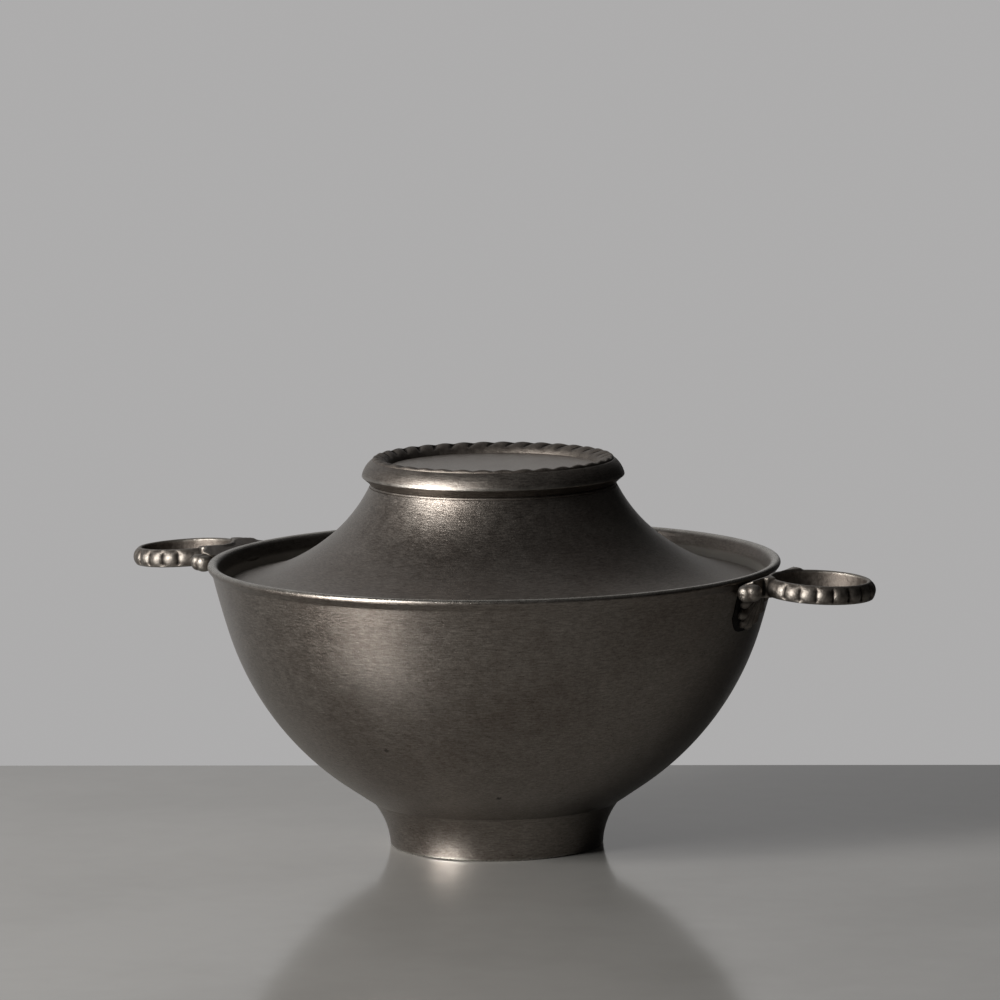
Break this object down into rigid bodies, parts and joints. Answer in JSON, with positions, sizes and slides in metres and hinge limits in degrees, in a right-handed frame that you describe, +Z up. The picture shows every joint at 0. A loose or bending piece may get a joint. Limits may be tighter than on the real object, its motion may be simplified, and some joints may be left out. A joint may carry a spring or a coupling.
{
  "type": "sugar bowl",
  "caption": "Footed hemispherical pewter bowl with ribbed finger-ring handles, and a lift-off lid that sweeps up to a low flat knob with a rope border.",
  "frame": {"origin": "centre of the foot's resting circle", "axes": "+Z up along the axis of the bowl, +X and -X through the two handles"},
  "size_m": [0.1693, 0.12, 0.0821],
  "materials": {
    "pewter_shell": "spun pewter with fine turning marks under a dark, warm grey patina",
    "pewter_casting": "cast pewter, dark in the recesses and rubbed bright on the ribs and scrolls",
    "solder": "dull dark tin solder"
  },
  "bodies": {
    "bowl": {"bowl_shell": "pewter_shell", "foot_ring": "pewter_shell", "foot_solder": "solder", "lid_seat_ring": "pewter_shell", "handle_right": "pewter_casting", "handle_left": "pewter_casting", "palmette_right": "pewter_casting", "palmette_left": "pewter_casting", "handle_solder_right": "solder", "handle_solder_left": "solder"},
    "lid": {"lid_shell": "pewter_shell", "lid_bezel": "pewter_shell", "knob_band": "pewter_shell", "knob_disc": "pewter_shell", "knob_rope_border": "pewter_casting", "knob_solder": "solder"}
  },
  "joints": [
    {"name": "lid_lift", "type": "slide", "parent": "bowl", "child": "lid", "axis": [0, 0, 1], "range_m": [0, 0.08]}
  ]
}
